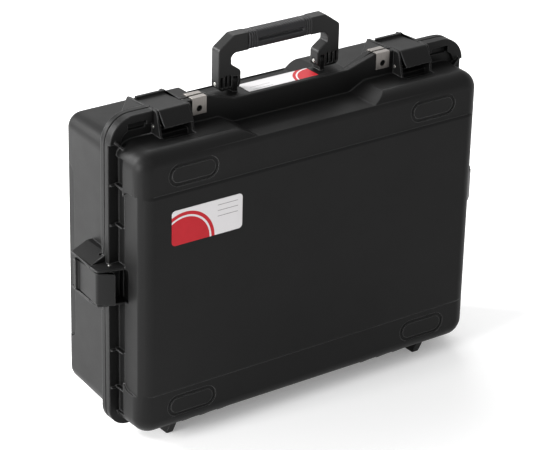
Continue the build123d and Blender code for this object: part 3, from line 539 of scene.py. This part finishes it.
# Places along the grip are measured from its nearer end.
COLLARS, COLLAR_HALF, COLLAR_DEPTH = (0.0025, 0.0057, 0.0089), 0.0008, 0.0018
GRIP_EDGE = 0.0010
RIB_START, RIB_PITCH, RIB_DEPTH = 0.0115, 0.0035, 0.0007
RIB_FADE = 0.25  # Share of the half height, down from the top.
GROOVE_START, GROOVE_RAMP, GROOVE_HALF, GROOVE_DEPTH = 0.0120, 0.0015, 0.0020, 0.0034
FLANK_Y = 0.008
rim = np.arange(RIM_POINTS) / RIM_POINTS * 2 * math.pi


def rounded_box(size, power):
    """Ring |y/a|^p + |z/b|^p = 1 about the grip's axis: cos and sin to the power 2/p, kept in
    sign."""
    c, s = np.cos(rim), np.sin(rim)
    return np.stack([np.sign(c) * np.abs(c) ** (2 / power),
                     np.sign(s) * np.abs(s) ** (2 / power)], 1) * size / 2


rubber_ring, bore_ring = rounded_box(GRIP_SIZE, GRIP_POWER), rounded_box(GRIP_BORE, BORE_POWER)
x = np.linspace(-GRIP_HALF, GRIP_HALF, GRIP_RINGS)
from_end = GRIP_HALF - np.abs(x)
# How far each point is sunk below the ring: bell curves for the collars' rings, a quarter circle
# for the end's edge, a cosine wave for the ribs of the top, and a flat bell for the flanks' groove.
collar = COLLAR_DEPTH * sum(np.exp(-((from_end - d) / COLLAR_HALF) ** 2) for d in COLLARS)
in_edge = (1 - from_end / GRIP_EDGE).clip(0, 1)
edge = GRIP_EDGE * (1 - np.sqrt(np.clip(1 - in_edge ** 2, 0, 1)))
ribbed = RIB_DEPTH * (0.5 - 0.5 * np.cos(2 * math.pi * x / RIB_PITCH)) * (from_end > RIB_START)
top = np.clip(1 - (1 - rubber_ring[:, 1] / (GRIP_SIZE[1] / 2)) / RIB_FADE, 0, 1)
groove = GROOVE_DEPTH * np.clip((from_end - GROOVE_START) / GROOVE_RAMP, 0, 1)
flank = np.exp(-(rubber_ring[:, 1] / GROOVE_HALF) ** 4) * (np.abs(rubber_ring[:, 0]) > FLANK_Y)
sink = (collar + edge)[:, None] + ribbed[:, None] * top[None] + groove[:, None] * flank[None]
shrink = 1 - sink[..., None] / np.linalg.norm(rubber_ring, axis=1)[None, :, None]
skin = rubber_ring[None] * shrink
# The bore's rings run back from the far end, so the last one meets the first of the skin.
bore_x = x[::-(GRIP_RINGS // (BORE_RINGS - 1))]
rings = np.concatenate([
    np.concatenate([np.broadcast_to(x[:, None, None], skin[..., :1].shape), skin], -1),
    np.concatenate([np.broadcast_to(bore_x[:, None, None], (BORE_RINGS, RIM_POINTS, 1)),
                    np.broadcast_to(bore_ring[None], (BORE_RINGS, RIM_POINTS, 2))], -1)])
grip = ring_mesh("handle_grip_sleeve", rings + GRIP_MID, joined=True)
# Soft-touch rubber is matt and a shade greyer than the frame it is moulded on. Its fine grain
# is drawn at 0.7 mm to show.
elastomer = moulded_plastic("soft_touch_elastomer", "151516", "1d1d1f", roughness=0.54,
                            grain_mm=0.7, grain_height=0.00005, specular=0.26)
grip.data.materials.append(elastomer)
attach(grip, "handle")
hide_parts("handle_grip")

# Labels: printed vinyl with a clear film over the ink, cut with round corners and stuck on.
# Each carries plain areas of red and pale grey and a few thin rules, under a satin film with a
# faint ripple.
WASH_SIZE, RIPPLE_SIZE = 0.012, 0.004
RING_PLACE, RING_HALF = 0.86, 0.03  # In radii of the disc.
HALF_PITCH, HALF_RULE = 0.0035, 0.00035
# A label lies along X and one more axis; its disc has a centre and a radius, and its rules fill a
# field with a middle and a half size along each of the two.
LABELS = {
    "front_label": ("Z", (-0.1860, 0.2640), 0.040, (-0.128, 0.2945), (0.014, 0.0080)),
    "strip_label": ("Y", (0.0500, PARTING + 0.004), 0.034, (-0.028, PARTING + 0.0180),
                    (0.014, 0.0080)),
}


def printed_vinyl(name, along, centre, radius, field, field_half):
    """Vinyl printed pale grey, with a red disc, where the distance from centre is under radius,
    that has a pale ring just inside its rim, and thin grey rules in a field, where a triangle
    wave along its height is near zero."""
    material, tree, shader = new_material(name)
    shader.inputs["IOR"].default_value = 1.5
    shader.inputs["Specular IOR Level"].default_value = 0.12
    place = add_node(tree, "ShaderNodeTexCoord").outputs["Object"]
    axes = add_node(tree, "ShaderNodeSeparateXYZ", {0: place})
    u, v = axes.outputs["X"], axes.outputs[along]
    dx = add_node(tree, "ShaderNodeMath", {0: u}, operation="SUBTRACT", i_1=centre[0])
    dy = add_node(tree, "ShaderNodeMath", {0: v}, operation="SUBTRACT", i_1=centre[1])
    x2 = add_node(tree, "ShaderNodeMath", {0: dx.outputs[0], 1: dx.outputs[0]},
                  operation="MULTIPLY")
    r2 = add_node(tree, "ShaderNodeMath", {0: dy.outputs[0], 1: dy.outputs[0], 2: x2.outputs[0]},
                  operation="MULTIPLY_ADD")
    r = add_node(tree, "ShaderNodeMath", {0: r2.outputs[0]}, operation="SQRT")
    disc = add_node(tree, "ShaderNodeMath", {0: r.outputs[0]}, operation="LESS_THAN", i_1=radius)
    ring = add_node(tree, "ShaderNodeMath", {0: r.outputs[0]}, operation="COMPARE",
                    i_1=radius * RING_PLACE, i_2=radius * RING_HALF)
    inked = add_node(tree, "ShaderNodeMath", {0: disc.outputs[0], 1: ring.outputs[0]},
                     operation="SUBTRACT", use_clamp=True)
    rules = add_node(tree, "ShaderNodeMath", {0: v}, operation="PINGPONG", i_1=HALF_PITCH)
    line = add_node(tree, "ShaderNodeMath", {0: rules.outputs[0]}, operation="LESS_THAN",
                    i_1=HALF_RULE)
    in_u = add_node(tree, "ShaderNodeMath", {0: u}, operation="COMPARE", i_1=field[0],
                    i_2=field_half[0])
    in_v = add_node(tree, "ShaderNodeMath", {0: v}, operation="COMPARE", i_1=field[1],
                    i_2=field_half[1])
    inside = add_node(tree, "ShaderNodeMath", {0: in_u.outputs[0], 1: in_v.outputs[0]},
                      operation="MULTIPLY")
    ruled = add_node(tree, "ShaderNodeMath", {0: line.outputs[0], 1: inside.outputs[0]},
                     operation="MULTIPLY")
    pale = add_node(tree, "ShaderNodeMix", {0: ruled.outputs[0]}, data_type="RGBA",
                    i_6=linear("c9c7c8"), i_7=linear("6e6c6d"))
    wash = add_node(tree, "ShaderNodeTexNoise", {"Vector": place}, i_Scale=1 / WASH_SIZE,
                    i_Detail=4.0)
    red = add_node(tree, "ShaderNodeMix", {0: wash.outputs["Fac"]}, data_type="RGBA",
                   i_6=linear("a11a23"), i_7=linear("b2242d"))
    ink = add_node(tree, "ShaderNodeMix",
                   {0: inked.outputs[0], 6: pale.outputs[2], 7: red.outputs[2]}, data_type="RGBA")
    tree.links.new(ink.outputs[2], shader.inputs["Base Color"])
    film = add_node(tree, "ShaderNodeMapRange", {"Value": wash.outputs["Fac"]}, i_To_Min=0.30,
                    i_To_Max=0.42)
    tree.links.new(film.outputs["Result"], shader.inputs["Roughness"])
    ripple = add_node(tree, "ShaderNodeTexNoise", {"Vector": place}, i_Scale=1 / RIPPLE_SIZE,
                      i_Detail=1.0)
    bump = add_node(tree, "ShaderNodeBump", {"Height": ripple.outputs["Fac"]}, i_Strength=0.15,
                    i_Distance=0.00006)
    tree.links.new(bump.outputs["Normal"], shader.inputs["Normal"])
    return material


for node, design in LABELS.items():
    frame["nodes"][node].data.materials.clear()
    frame["nodes"][node].data.materials.append(printed_vinyl(node + "_printed_vinyl", *design))

# Pressure valve: black acetal, turned from rod. The cap's rim is fluted for the fingers, and
# the nut is tightened on the thread from inside the case.
CAP_RADIUS, CAP_LOW, CAP_HIGH, CAP_Y = 0.009, 0.365, 0.368, PARTING + 0.062
CAP_POINTS, FLUTES, FLUTE_DEPTH = 240, 30, 0.045
POLE_RADIUS = 0.00001
VALVE_EDGE = 0.0003
# The cap's profile: share of its radius, share of its height, and share of the flutes' depth.
CAP_PROFILE = np.array([
    (0.0, 0.0, 0.0), (1.0, 0.0, 1.0), (1.0, 0.70, 1.0), (0.985, 0.90, 1.0), (0.93, 1.0, 0.4),
    (0.62, 1.0, 0.0), (0.58, 0.86, 0.0), (0.0, 0.86, 0.0)])
# Denser and smoother than the shells, with a silky gloss. Its fine turning marks are drawn as a
# grain of 0.4 mm to show.
acetal = moulded_plastic("turned_black_acetal", "0e0e0e", "141414", roughness=0.34, grain_mm=0.4,
                         grain_height=0.00003, specular=0.3, ior=1.48)
spin = np.arange(CAP_POINTS) / CAP_POINTS * 2 * math.pi
reach, height, fluted = CAP_PROFILE.T[:, :, None]
flute = 1 - FLUTE_DEPTH * (0.5 - 0.5 * np.cos(FLUTES * spin)) * fluted
radius = CAP_RADIUS * reach * flute + POLE_RADIUS
rings = np.stack([radius * np.cos(spin), radius * np.sin(spin) + CAP_Y,
                  np.broadcast_to(CAP_LOW + (CAP_HIGH - CAP_LOW) * height, radius.shape)], -1)
cap = ring_mesh("valve_cap_turning", rings)
cap.data.materials.append(acetal)
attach(cap, "base")
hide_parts("valve_cap")
for node in ("valve_body", "valve_nut"):
    turned = softened(node, node + "_turning", "base", VALVE_EDGE)
    turned.data.materials.append(acetal)
